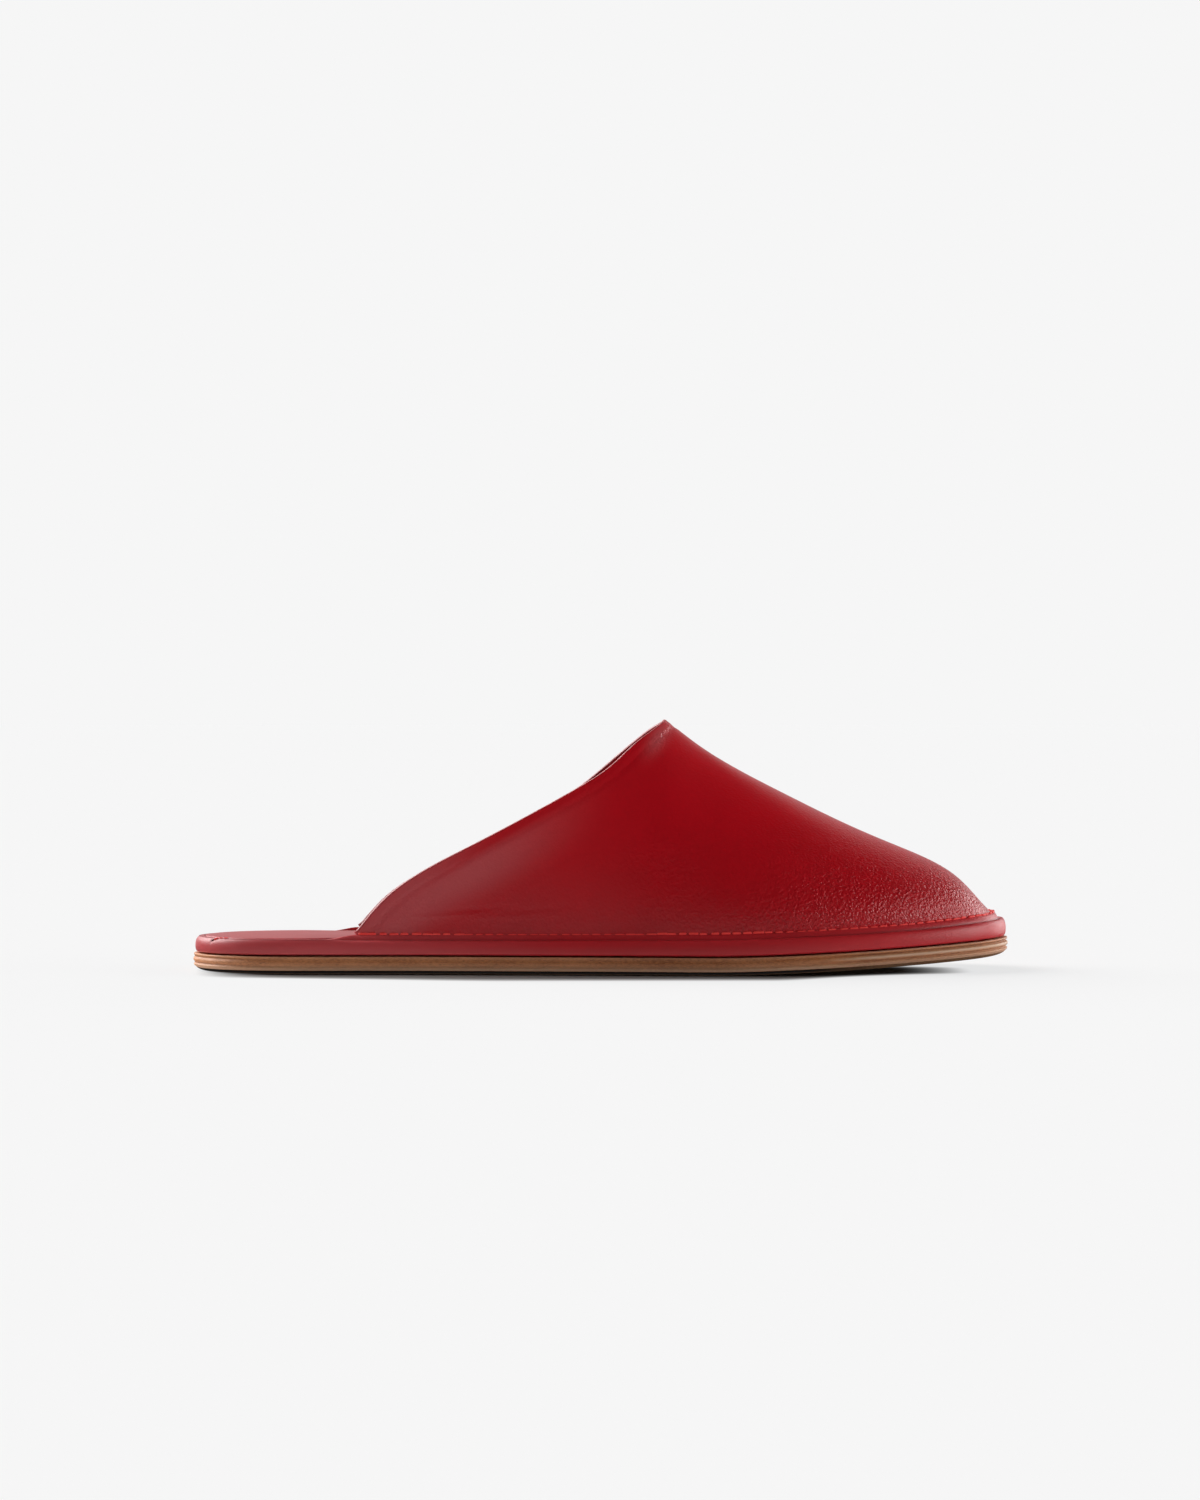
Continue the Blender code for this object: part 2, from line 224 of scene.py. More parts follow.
flanks = {
    -1: insetEdge(allAngles[1:-1], upperInset),
    1: insetEdge(2 * math.pi - allAngles[1:-1], upperInset),
}
ridgeCurve = splineThrough([math.sqrt(row[0]) for row in ridgeRows], [row[1] for row in ridgeRows])
toplineCurve = {sign: tableCurve(toplineRows, column) for sign, column in ((-1, 1), (1, 2))}
flankPull, crownPull, flankLean = (tableCurve(roundRows, column) for column in (1, 2, 3))


def flankY(x, sign):
    return float(np.interp(x, flanks[sign][:, 0], flanks[sign][:, 1]))


def archPoints(x, sign, v):
    # points of the last's cross section at x: v is 0 at the rim and 1 on the ridge
    v = np.asarray(v, float)
    share = max(upperToe - x, 0.0) / vampLength
    baseY = flankY(x, sign)
    middle = (flankY(x, -1) + flankY(x, 1)) / 2
    ridgeY = middle + last["ridgeShift"] * math.sin(math.pi * min(share, 1.0))
    baseZ = rimTop + float(lift(x))
    rise = last["vampRise"] * float(ridgeCurve(math.sqrt(share)))
    half = baseY - ridgeY
    lean = last["bulge"] * float(flankLean(share)) * min(abs(half) / (last["heel"] / 2), 1)
    corners = (
        (baseY, baseZ),
        (baseY + sign * lean, baseZ + rise * float(flankPull(share))),
        (ridgeY + half * float(crownPull(share)), baseZ + rise),
        (ridgeY, baseZ + rise),
    )
    weights = ((1 - v) ** 3, 3 * v * (1 - v) ** 2, 3 * v**2 * (1 - v), v**3)
    y = sum(w * corner[0] for w, corner in zip(weights, corners))
    z = sum(w * corner[1] for w, corner in zip(weights, corners))
    return np.stack([np.full_like(y, x), y, z], axis=-1)


def newPiece(name, points, faces, materials, faceMaterial=None, marks=None):
    mesh = bpy.data.meshes.new(name)
    points = np.asarray(points, float).reshape(-1, 3)
    mesh.from_pydata(points.tolist(), [], [tuple(face) for face in faces])
    for look in materials:
        mesh.materials.append(look)
    if faceMaterial is not None:
        mesh.polygons.foreach_set("material_index", np.asarray(faceMaterial, np.int32))
    for label, values in (marks or {}).items():
        layer = mesh.attributes.new(label, "FLOAT", "POINT")
        layer.data.foreach_set("value", np.asarray(values, np.float32).ravel())
    mesh.validate()
    shell = bmesh.new()
    shell.from_mesh(mesh)
    bmesh.ops.recalc_face_normals(shell, faces=shell.faces)
    shell.to_mesh(mesh)
    shell.free()
    mesh.shade_smooth()
    piece = bpy.data.objects.new(name, mesh)
    scene.collection.objects.link(piece)
    return piece


def gridFaces(rows, columns, closeRound, start=0):
    # quads of a grid whose points lie row after row
    down = np.arange(rows - 1)[:, None]
    across = np.arange(columns if closeRound else columns - 1)[None, :]
    a = start + down * columns + across
    b = start + down * columns + (across + 1) % columns
    return np.stack([a, b, b + columns, a + columns], axis=-1).reshape(-1, 4)


def roundOff(line, times):
    # cuts the corners of a line of points, keeping both ends: (points, columns, 2)
    for _ in range(times):
        near = line[:-1] * 0.75 + line[1:] * 0.25
        far = line[:-1] * 0.25 + line[1:] * 0.75
        cut = np.empty((2 * len(near),) + line.shape[1:])
        cut[0::2] = near
        cut[1::2] = far
        line = np.concatenate([line[:1], cut, line[-1:]])
    return line


def runAlong(line):
    # how far along the line each of its points lies
    return np.concatenate([[0], np.cumsum(np.linalg.norm(np.diff(line, axis=0), axis=1))])


def seamTurns(count):
    # even steps along the edge of the sole
    turns = np.linspace(0, 2 * math.pi, 4001)
    run = runAlong(soleEdge(turns))
    even = np.linspace(0, run[-1], count, endpoint=False)
    return np.interp(even, run, turns)


def asProfile(x, rows):
    # rows of (inset, height), each one number or a number for every x
    even = np.zeros_like(x)
    return np.array([np.stack([even + inset, even + height], axis=-1) for inset, height in rows])


def ringPoints(turns, profile):
    levels = len(profile)
    points = np.zeros((levels, len(turns), 3))
    for level in range(levels):
        place = insetEdge(turns, profile[level, :, 0])
        points[level, :, :2] = place
        points[level, :, 2] = profile[level, :, 1] + lift(place[:, 0])
    return points


def closeMiddle(points, level):
    # joins the two sides of the innermost ring by strips across the shoe
    count = points.shape[1]
    start = level * count
    half = count // 2
    faces = []
    for k in range(half):
        a, b = start + k, start + k + 1
        c, d = start + (count - k - 1) % count, start + (count - k) % count
        corners = list(dict.fromkeys([a, b, c, d]))
        if len(corners) > 2:
            faces.append(corners)
    return faces


def ringFaces(points):
    levels, count = points.shape[:2]
    faces = gridFaces(levels, count, True).tolist()
    return faces + closeMiddle(points, 0) + closeMiddle(points, levels - 1)


def link(tree, source, target):
    tree.links.new(source, target)


def setInput(tree, target, value):
    # the value is another node's output, a colour of three numbers, or what the input itself holds
    if isinstance(value, bpy.types.NodeSocket):
        link(tree, value, target)
    else:
        target.default_value = (*value, 1) if target.type == "RGBA" else value


def newNode(tree, kind, inputs, **settings):
    node = tree.nodes.new("ShaderNode" + kind)
    for name, value in settings.items():
        setattr(node, name, value)
    for slot, value in inputs.items():
        setInput(tree, node.inputs[slot], value)
    return node.outputs


def mathNode(tree, kind, a, b, clamp=False):
    return newNode(tree, "Math", {0: a, 1: b}, operation=kind, use_clamp=clamp)[0]


def scaleNode(tree, value, factor, more):
    return mathNode(tree, "ADD", mathNode(tree, "MULTIPLY", value, factor), more)


def blendNode(tree, a, shareA, b, shareB):
    return scaleNode(tree, a, shareA, mathNode(tree, "MULTIPLY", b, shareB))


def stepNode(tree, value, low, high, start=0.0, end=1.0):
    inputs = {"Value": value, "From Min": low, "From Max": high, "To Min": start, "To Max": end}
    return newNode(tree, "MapRange", inputs, interpolation_type="SMOOTHSTEP")["Result"]


def mixColour(tree, factor, a, b):
    return newNode(tree, "Mix", {0: factor, 6: a, 7: b}, data_type="RGBA")[2]


def noiseNode(tree, vector, scale, detail=2.0, roughness=0.5, output="Fac"):
    inputs = {"Vector": vector, "Scale": scale, "Detail": detail, "Roughness": roughness}
    return newNode(tree, "TexNoise", inputs)[output]


def newGroup(name, inputs, outputs):
    group = bpy.data.node_groups.new(name, "ShaderNodeTree")
    for side, sockets in (("INPUT", inputs), ("OUTPUT", outputs)):
        for label, kind in sockets.items():
            group.interface.new_socket(name=label, in_out=side, socket_type="NodeSocket" + kind)
    return group, group.nodes.new("NodeGroupInput").outputs, group.nodes.new("NodeGroupOutput").inputs


def buildLeatherGrain():
    # pebbles parted by fine valleys, and pores on top of them
    group, given, result = newGroup(
        "leatherGrain",
        {
            "Position": "Vector",
            "Pebbles Per Metre": "Float",
            "Pebble Depth": "Float",
            "Pore Depth": "Float",
        },
        {"Height": "Float", "Valley": "Float"},
    )
    drift = noiseNode(group, given["Position"], 420.0, output="Color")
    bend = {0: drift, 1: (0.0008, 0.0008, 0.0008), 2: given["Position"]}
    warped = newNode(group, "VectorMath", bend, operation="MULTIPLY_ADD")[0]
    heights = []
    for factor in (1.0, 2.1):
        size = mathNode(group, "MULTIPLY", given["Pebbles Per Metre"], factor)
        cells = newNode(group, "TexVoronoi", {"Vector": warped, "Scale": size}, feature="F1")
        heights.append(stepNode(group, cells["Distance"], 0.05, 0.80, 1.0, 0.0))
    both = blendNode(group, heights[0], 0.68, heights[1], 0.32)
    pores = noiseNode(group, given["Position"], 3800.0, 3.0, 0.6)
    pebble = mathNode(group, "MULTIPLY", both, given["Pebble Depth"])
    pore = mathNode(group, "MULTIPLY", pores, given["Pore Depth"])
    link(group, mathNode(group, "ADD", pebble, pore), result["Height"])
    link(group, mathNode(group, "SUBTRACT", 1.0, both, clamp=True), result["Valley"])
    return group


def buildToneDrift():
    # the dye's slow change of colour over a hide
    group, given, result = newGroup(
        "toneDrift",
        {"Position": "Vector", "Colour": "Color", "Deep Colour": "Color", "Amount": "Float"},
        {"Colour": "Color", "Patch": "Float"},
    )
    slow = noiseNode(group, given["Position"], 26.0, 3.0, 0.55)
    fine = noiseNode(group, given["Position"], 900.0)
    patch = stepNode(group, blendNode(group, slow, 0.75, fine, 0.25), 0.30, 0.70)
    share = mathNode(group, "MULTIPLY", patch, given["Amount"])
    link(group, mixColour(group, share, given["Colour"], given["Deep Colour"]), result["Colour"])
    link(group, patch, result["Patch"])
    return group


leatherGrain = buildLeatherGrain()
toneDrift = buildToneDrift()


def newMaterial(name, constants):
    look = bpy.data.materials.new(name)
    look.use_nodes = True
    shader = look.node_tree.nodes["Principled BSDF"]
    for label, value in constants.items():
        setInput(look.node_tree, shader.inputs[label], value)
    return look, look.node_tree, shader


def objectPlace(tree):
    return newNode(tree, "TexCoord", {})["Object"]


def markValue(tree, label):
    return newNode(tree, "Attribute", {}, attribute_name=label)["Fac"]


def dyeTone(tree, look):
    inputs = {"Colour": look["colour"], "Deep Colour": look["deep"], "Amount": look["drift"]}
    return newNode(tree, "Group", {"Position": objectPlace(tree), **inputs}, node_tree=toneDrift)


def splitByRay(tree, others, cameras, output):
    # one shader for the camera's own rays, another for all others
    seen = newNode(tree, "LightPath", {})["Is Camera Ray"]
    mix = newNode(tree, "MixShader", {0: seen, 1: others, 2: cameras})
    link(tree, mix[0], tree.nodes[output].inputs["Surface"])


def bumpInto(tree, shader, height, distance):
    bump = newNode(tree, "Bump", {"Height": height, "Distance": distance})
    link(tree, bump["Normal"], shader.inputs["Normal"])


def redLeather(name, look):
    material, tree, shader = newMaterial(name, {"Specular IOR Level": look["gloss"]})
    amount = markValue(tree, "grainAmount")
    grain = newNode(
        tree,
        "Group",
        {
            "Position": objectPlace(tree),
            "Pebbles Per Metre": look["pebbles"],
            "Pebble Depth": amount,
            "Pore Depth": look["pores"],
        },
        node_tree=leatherGrain,
    )
    tone = dyeTone(tree, look)
    share = mathNode(tree, "MULTIPLY", amount, look["valley"])
    valley = mathNode(tree, "MULTIPLY", grain["Valley"], share, clamp=True)
    colour = mixColour(tree, valley, tone["Colour"], look["deep"])
    # painted sheen and painted shade, mixed into the colour where their marks say
    for label in ("paintedSheen", "paintedShade"):
        if label in look:
            colour = mixColour(tree, markValue(tree, label), colour, look[label])
    link(tree, colour, shader.inputs["Base Color"])
    rough = scaleNode(tree, tone["Patch"], look["roughDrift"], look["rough"])
    link(tree, rough, shader.inputs["Roughness"])
    bumpInto(tree, shader, grain["Height"], look["depth"])
    return material


upper = {
    "openStations": 150,
    "closedStations": 190,
    "rows": 70,
    "rimSteps": 8,
    "stationSpread": (2.1, 1.15),  # closer at the upper's back, at its peak and at the toe
    "rowSpread": 1.25,
    "facingWidth": 0.0026,  # turned band inside the collar
    "facingStep": 0.0003,
    "pressAt": (0.0030, 0.0011),  # the fold's press line: distance from the collar, half width
    "pressDepth": 0.00018,
    "toeThick": (0.0045, 0.0023),  # where the inside starts to fill up before the toe, and where it ends
    "patchAt": (0.0178, 0.0745),  # streaky patch beside the peak: place along the shoe, height
    "patchSize": (0.0060, 0.0026),
    "patchSlant": 55,
    "evenGrain": 0.12,
    "toeGrain": 0.62,
    "toeGrainAlong": (0.000, 0.085),
    "toeGrainUp": (0.012, 0.042),
    "lowGrain": 0.12,
    "lowGrainUp": (0.004, 0.016),
    "patchGrain": 0.6,
    "dimpleGrain": 0.35,
    "dimpleAt": (0.0205, 0.034),
    "dimpleSize": (0.012, 0.010),
    "smoothEdge": (0.0006, 0.0025),  # distance from the collar
    "shades": (0.35, 0.70),  # painted shade on the collar's turned edge, outer and inner half
    "look": {
        "colour": (0.680, 0.0030, 0.0120),
        "deep": (0.480, 0.0015, 0.0070),
        # painted sheen colour
        "paintedSheen": (0.660, 0.090, 0.100),
        # painted shade colour
        "paintedShade": (0.150, 0.0012, 0.0035),
        "drift": 0.45,
        "rough": 0.31,
        "roughDrift": 0.05,
        "gloss": 0.5,
        "pebbles": 980.0,
        "pores": 0.10,
        "valley": 0.50,
        "depth": 0.00028,
    },
    "lining": {
        # the same red leather painted dark: painted shade inside the shoe
        "colour": (0.200, 0.0045, 0.0085),
        "deep": (0.140, 0.0030, 0.0055),
        "drift": 0.4,
        "rough": 0.62,
        "roughDrift": 0.05,
        "gloss": 0.3,
        "pebbles": 900.0,
        "pores": 0.20,
        "valley": 0.2,
        "depth": 0.00008,
    },
}

# Soft ridges and troughs seen from the side. Side of the foot, place along the shoe and height, slant
# in degrees, half length, half width, height of the ridge.
creaseRows = (
    (-1, -0.0336, 0.0408, 31, 0.030, 0.0050, 0.00045),
    (-1, -0.0372, 0.0470, 31, 0.030, 0.0035, -0.00030),
    (-1, 0.0205, 0.0340, 0, 0.0080, 0.0070, -0.00035),
    (-1, 0.0110, 0.0350, 84, 0.024, 0.0070, -0.00030),
    (-1, 0.0172, 0.0742, 55, 0.0055, 0.0018, 0.00014),
    (-1, -0.0480, 0.0185, 3, 0.012, 0.0007, 0.00010),
    (-1, -0.0400, 0.0205, 5, 0.010, 0.0007, -0.00010),
    (-1, -0.0320, 0.0180, 2, 0.013, 0.0007, 0.00009),
    (-1, -0.0220, 0.0205, 4, 0.009, 0.0006, -0.00008),
    (1, -0.0300, 0.0400, 30, 0.030, 0.0055, 0.00045),
    (1, -0.0335, 0.0460, 30, 0.028, 0.0035, -0.00028),
    (1, 0.0260, 0.0330, 80, 0.020, 0.0070, -0.00030),
    (1, 0.0160, 0.0735, 55, 0.0055, 0.0018, 0.00014),
    (1, -0.0420, 0.0190, 4, 0.012, 0.0007, 0.00010),
    (1, -0.0330, 0.0210, 3, 0.010, 0.0007, -0.00009),
)


def creaseHeight(points, sign):
    total = np.zeros(points.shape[:-1])
    for side, x, z, slant, halfLength, halfWidth, height in creaseRows:
        if side != sign:
            continue
        turn = math.radians(slant)
        dx, dz = points[..., 0] - x, points[..., 2] - z
        along = dx * math.cos(turn) + dz * math.sin(turn)
        across = -dx * math.sin(turn) + dz * math.cos(turn)
        total += height * bell(along / halfLength, across / halfWidth)
    return total


def toplineHeight(x, sign):
    # the collar's edge, lower than the solid's by the roundness of its turned leather
    share = (x - upperBack) / (peakX - upperBack)
    slope = float(toplineCurve[sign](share + 0.005) - toplineCurve[sign](share - 0.005)) / 0.01
    slope *= last["vampRise"] / (peakX - upperBack)
    drop = last["wall"] / 2 * math.sqrt(1 + slope**2)
    rise = last["vampRise"] * float(toplineCurve[sign](share)) - drop
    return rimTop + float(lift(x)) + max(rise, last["backStep"])


def ridgeHeight(x):
    share = max(upperToe - x, 0.0) / vampLength
    return rimTop + float(lift(x)) + last["vampRise"] * float(ridgeCurve(math.sqrt(share)))


def bisect(low, high, tooLow):
    for _ in range(40):
        middle = (low + high) / 2
        low, high = (middle, high) if tooLow(middle) else (low, middle)
    return low, high


def underRidge(x):
    return min(toplineHeight(x, -1), toplineHeight(x, 1)) < ridgeHeight(x)


def topOfWall(x, sign, peak):
    if x >= peak:
        return 1.0
    goal = toplineHeight(x, sign)
    return bisect(0.0, 1.0, lambda v: archPoints(x, sign, v)[2] < goal)[0]


def unit(vectors):
    return vectors / np.maximum(np.linalg.norm(vectors, axis=-1, keepdims=True), 1e-12)


def nearestDistance(points, line):
    flat = points.reshape(-1, 3)
    best = np.full(len(flat), 1.0)
    for start in range(0, len(flat), 4000):
        part = flat[start : start + 4000]
        best[start : start + 4000] = np.sqrt(((part[:, None] - line[None]) ** 2).sum(-1).min(1))
    return best.reshape(points.shape[:-1])


def upperMarks(points, rimLine):
    # grain: pebbly at the toe, some low down, in a dimple and in the streaky patch beside the peak
    x, z = points[:, 0], points[:, 2] - rimTop - lift(points[:, 0])
    toe = softStep(x, *upper["toeGrainAlong"]) * (1 - 0.70 * softStep(z, *upper["toeGrainUp"]))
    low = upper["lowGrain"] * (1 - softStep(z, *upper["lowGrainUp"]))
    slant = math.radians(upper["patchSlant"])
    dx, dz = x - upper["patchAt"][0], points[:, 2] - upper["patchAt"][1]
    patch = bell(
        (dx * math.cos(slant) + dz * math.sin(slant)) / upper["patchSize"][0],
        (dz * math.cos(slant) - dx * math.sin(slant)) / upper["patchSize"][1],
    )
    dimple = upper["dimpleGrain"] * bell(
        (x - upper["dimpleAt"][0]) / upper["dimpleSize"][0],
        (points[:, 2] - upper["dimpleAt"][1]) / upper["dimpleSize"][1],
    )
    amount = upper["evenGrain"] + upper["toeGrain"] * toe + low + upper["patchGrain"] * patch + dimple
    under = nearestDistance(points, rimLine)
    # the collar's turned edge is smooth
    amount = np.clip(amount, 0, 1.1) * (0.1 + 0.9 * softStep(under, *upper["smoothEdge"]))
    # painted sheen: the colour greyed toward pink towards the heel, most in a band under the back of the
    # collar, at the toe's tip and in the streaky patch beside the peak
    band = np.maximum(softStep(under, 0.001, 0.005), 1 - softStep(x, -0.060, -0.030))
    band *= (1 - softStep(under, 0.008, 0.019)) * (1 - softStep(x, -0.045, 0.005))
    paintedSheen = 0.10 * (1 - softStep(x, -0.035, 0.022)) + 0.78 * band + 0.18 * softStep(x, 0.085, 0.108)
    return amount, np.maximum(paintedSheen, patch)


def makeUpper():
    peak = bisect(peakX - 0.001, peakX + 0.004, underRidge)[1]
    openCount = upper["openStations"]
    closedCount = upper["closedStations"]
    rows = upper["rows"]
    back, front = upper["stationSpread"]
    places = [upperBack + (peak - upperBack) * (1 - (1 - i / openCount) ** back) for i in range(openCount)]
    for i in range(closedCount):
        places.append(peak + (upperToe - peak) * math.sin(math.pi / 2 * i / closedCount) ** front)
    places.append(upperToe - last["gap"] * 0.2)
    stations = len(places)
    climb = 1 - (1 - np.linspace(0, 1, rows)) ** upper["rowSpread"]
    skin, normals, distance = {}, {}, {}
    for sign in (-1, 1):
        columns = []
        for x in places:
            column = archPoints(x, sign, climb * topOfWall(x, sign, peak))
            foot = column[0].copy()
            foot[2] = trayHeight + last["gap"] + float(lift(x))
            columns.append(np.concatenate([[foot], column]))
        skin[sign] = np.array(columns)
    rimLine = np.concatenate([skin[-1][: openCount + 1, -1], skin[1][:openCount, -1][::-1]])
    for sign in (-1, 1):
        along = np.gradient(skin[sign], axis=0)
        up = np.gradient(skin[sign], axis=1)
        other = skin[-sign][openCount:, -2]
        up[openCount:, -1] = (other - skin[sign][openCount:, -2]) / 2
        normals[sign] = unit(np.cross(along, up) * -sign)
        distance[sign] = nearestDistance(skin[sign], rimLine)
    pressAt, pressWidth = upper["pressAt"]
    for sign in (-1, 1):
        crease = creaseHeight(skin[sign], sign)
        fade = softStep(distance[sign], 0.0, 0.003) * softStep(skin[sign][..., 2] - rimTop, 0.0, 0.003)
        edge = -upper["pressDepth"] * bell((distance[sign] - pressAt) / pressWidth)
        skin[sign] = skin[sign] + normals[sign] * ((crease + edge) * fade)[..., None]
    # both sides share the ridge
    shared = (skin[-1][openCount:, -1] + skin[1][openCount:, -1]) / 2
    skin[-1][openCount:, -1] = shared
    skin[1][openCount:, -1] = shared
    lining = {}
    toeFrom = next(i for i, x in enumerate(places) if x > upperToe - upper["toeThick"][0])
    facing, half = upper["facingWidth"], upper["facingStep"]
    for sign in (-1, 1):
        thin = upper["facingStep"] * softStep(distance[sign], facing - half, facing + half)
        inner = skin[sign] - normals[sign] * (last["wall"] - thin)[..., None]
        inner[:, 0, 2] = skin[sign][:, 0, 2]
        start = inner[toeFrom].copy()
        goal = start.copy()
        goal[:, 0] = upperToe - upper["toeThick"][1]
        goal[:, 1] = (skin[-1][toeFrom, :1, 1] + skin[1][toeFrom, :1, 1]) / 2
        goal[:, 2] = start[:1, 2] + (start[:, 2] - start[:1, 2]) * 0.1
        for i in range(toeFrom, stations):
            inner[i] = start + (goal - start) * (i - toeFrom) / (stations - 1 - toeFrom)
        lining[sign] = inner
    top = rows  # index of the last row, with the foot row below the arch
    points = []
    index = {}
    for face, layer in (("out", skin), ("in", lining)):
        for sign in (-1, 1):
            for i in range(stations):
                for j in range(rows + 1):
                    if sign > 0 and j == top and i >= openCount:
                        index[face, sign, i, j] = index[face, -1, i, j]
                        continue
                    index[face, sign, i, j] = len(points)
                    points.append(layer[sign][i][j])
    faces, kinds = [], []

    def addFace(corners, kind, flip=False):
        faces.append(corners[::-1] if flip else corners)
        kinds.append(kind)

    for sign in (-1, 1):
        for i in range(stations - 1):
            for j in range(top):
                quad = [(i, j), (i + 1, j), (i + 1, j + 1), (i, j + 1)]
                addFace([index["out", sign, p, q] for p, q in quad], 0, sign > 0)
                kind = 0 if distance[sign][i, j] < facing else 1
                addFace([index["in", sign, p, q] for p, q in quad], kind, sign < 0)
            edge = [("out", i), ("in", i), ("in", i + 1), ("out", i + 1)]
            addFace([index[face, sign, p, 0] for face, p in edge], 0, sign > 0)
        for j in range(top):
            edge = [("out", j), ("out", j + 1), ("in", j + 1), ("in", j)]
            addFace([index[face, sign, 0, q] for face, q in edge], 0, sign > 0)
    for j in range(top):
        for face in ("out", "in"):
            across = [(-1, j), (1, j), (1, j + 1), (-1, j + 1)]
            corners = list(dict.fromkeys(index[face, sign, stations - 1, q] for sign, q in across))
            addFace(corners, 0 if face == "out" else 1, face == "in")
    # the turned edge of the collar, round from the outside to the facing
    rimKeys = [(-1, i) for i in range(openCount + 1)] + [(1, i) for i in range(openCount - 1, -1, -1)]
    rim = np.array([skin[s][i, -1] for s, i in rimKeys])
    outward = unit(np.array([normals[s][i, -1] for s, i in rimKeys]))
    tangent = unit(np.gradient(rim, axis=0))
    away = unit(np.cross(outward, tangent))
    if np.dot(away[openCount // 2], rim[openCount // 2] - skin[-1][openCount // 2, -3]) < 0:
        away = -away
    inside = np.array([lining[s][i, -1] for s, i in rimKeys])
    centre = (rim + inside) / 2
    radius = np.linalg.norm(rim - inside, axis=1, keepdims=True) / 2
    firstRim = len(points)
    steps = upper["rimSteps"]
    for k in range(1, steps):
        turn = math.pi * k / steps
        ring = centre + (rim - inside) / 2 * math.cos(turn) + away * radius * math.sin(turn)
        points.extend(ring)
    count = len(rimKeys)

    def rimIndex(k, n):
        if k == 0:
            return index["out", rimKeys[n][0], rimKeys[n][1], top]
        if k == steps:
            return index["in", rimKeys[n][0], rimKeys[n][1], top]
        return firstRim + (k - 1) * count + n

    for k in range(steps):
        for n in range(count - 1):
            quad = [(k, n), (k, n + 1), (k + 1, n + 1), (k + 1, n)]
            addFace([rimIndex(p, q) for p, q in quad], 0)
    for n in (0, count - 1):
        addFace([rimIndex(k, n) for k in range(steps + 1)], 0, n == 0)
    points = np.array(points)
    amount, paintedSheen = upperMarks(points, rimLine)
    # painted shade on the collar's turned edge
    shade = np.zeros(len(points))
    for k in range(1, steps):
        ring = slice(firstRim + (k - 1) * count, firstRim + k * count)
        shade[ring] = upper["shades"][0 if k <= steps // 2 else 1]
    piece = newPiece(
        "upperLeather",
        points,
        faces,
        [redLeather("upperRed", upper["look"]), redLeather("liningRedPaintedShade", upper["lining"])],
        kinds,
        marks={"grainAmount": amount, "paintedSheen": paintedSheen, "paintedShade": shade},
    )
    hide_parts("upper")
    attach(piece, "root")


makeUpper()
print("upper made")


wrap = {
    "steps": 1100,
    "seamSteps": 150,
    "groove": 0.00035,
    "seamFrom": (0.300, 0.0011),  # turn and inset of the slit where the wrap's ends meet at the heel
    "seamTo": (0.392, 0.0036),
    "seamDepth": 0.00035,
    "seamWidth": 0.00055,
    "toeFrom": (0.055, 0.085),  # along the shoe, like the others that end in From
    "paintedShadeWidth": 0.00045,
    "grainFrom": (0.06, 0.11),
    "paintedSheenFrom": (-0.09, 0.0),
    "heelShadeFrom": (-0.124, -0.095),
    "toeShadeFrom": (0.085, 0.115),
    "look": {
        "colour": (0.750, 0.0050, 0.0160),
        "deep": (0.560, 0.0020, 0.0080),
        # painted sheen colour
        "paintedSheen": (0.700, 0.085, 0.095),
        "drift": 0.35,
        "rough": 0.38,
        "roughDrift": 0.05,
        "gloss": 0.5,
        "pebbles": 1500.0,
        "pores": 0.12,
        "valley": 0.3,
        "depth": 0.00006,
        # painted shade colour
        "paintedShade": (0.050, 0.0008, 0.0020),
    },
}
rollRows = ((0.42, 0.0), (0.10, 0.07), (0.0, 0.33), (0.04, 0.62), (0.22, 0.86), (0.60, 1.0))
# Place along the shoe, how far the rim stands over the rest of the platform there
rimClimbRows = (
    (-0.078, 0.0), (-0.020, 0.0002), (0.060, 0.0007), (0.100, 0.0008), (0.115, 0.0011), (0.130, 0.0014),
)


def rimClimb(x):
    return alongRows(x, rimClimbRows)


def underUpper(x):
    # 0 at the bare heel, 1 where the upper stands on the wrap
    return softStep(x, upperBack - last["seamTurn"], upperBack)


def wallInset(x):
    heelWall = last["wrapSetback"] + last["heelRim"]
    return heelWall + (rimInset - heelWall) * underUpper(x)


def wrapProfile(x):
    front = underUpper(x)
    toe = softStep(x, *wrap["toeFrom"])
    floor = last["outsole"] + last["gap"]
    heelCrest = trayHeight + last["sock"]
    crest = heelCrest + (rimTop - last["rollDrop"] - heelCrest) * front + rimClimb(x)
    rim = crest + last["rollDrop"] * front
    dip = crest - wrap["groove"] * (0.2 + front * (0.1 + 2.2 * toe))
    wall = wallInset(x)
    seam = wall - last["ledge"]
    lip = wall + 0.8 * last["gap"] * front
    rows = [(last["edgeRound"], floor)]
    for inset, up in rollRows:
        rows.append((last["wrapSetback"] + last["rollWidth"] * inset, floor + (crest - floor) * up))
    rows += [
        (seam - wrap["groove"] / 2, dip),
        (seam + wrap["groove"], dip + 0.1 * (rim - dip)),
        (seam + last["ledge"] / 3, (dip + rim) / 2),
        (wall - wrap["groove"], rim),
        (lip, rim - 0.4 * wrap["groove"]),
        (lip, trayHeight),
        (last["edgeRound"], trayHeight),
    ]
    return asProfile(x, rows)


def heelSeamEnds():
    return insetEdge(*wrap["seamFrom"]), insetEdge(*wrap["seamTo"])


